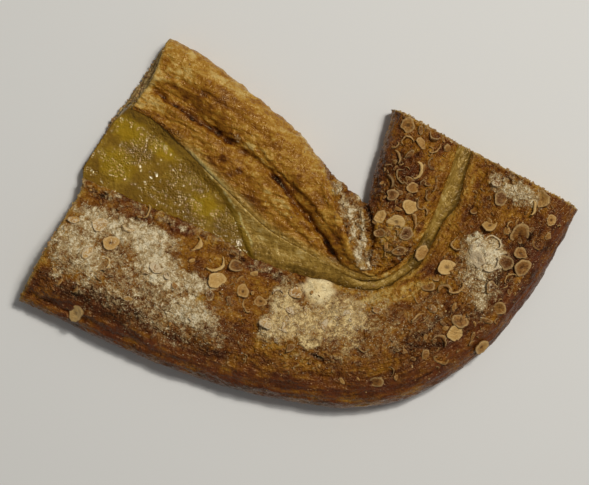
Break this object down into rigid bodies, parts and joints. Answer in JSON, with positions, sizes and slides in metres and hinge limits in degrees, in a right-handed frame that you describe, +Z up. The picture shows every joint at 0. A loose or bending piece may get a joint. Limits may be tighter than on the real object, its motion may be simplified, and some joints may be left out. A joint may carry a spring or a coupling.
{
  "type": "danish pastry stick",
  "caption": "Cut, bent length of Danish pastry with its sides folded over a custard filling, topped with sliced hazelnuts and sugar.",
  "frame": {"origin": "centre of the bounding box in plan, at the level of the underside that the pastry rests on", "axes": "+Z up out of the crust, +X along the pastry's longest extent from the left cut to the right cut, +Y towards the inside of the bend"},
  "size_m": [0.2897, 0.1909, 0.0276],
  "materials": {
    "crust": "baked laminated dough, golden to dark brown, flaky, with sugar and sliced hazelnuts",
    "custard": "wet, glossy set custard"
  },
  "bodies": {
    "root": {"pastry": "crust", "custard": "custard"}
  },
  "joints": []
}
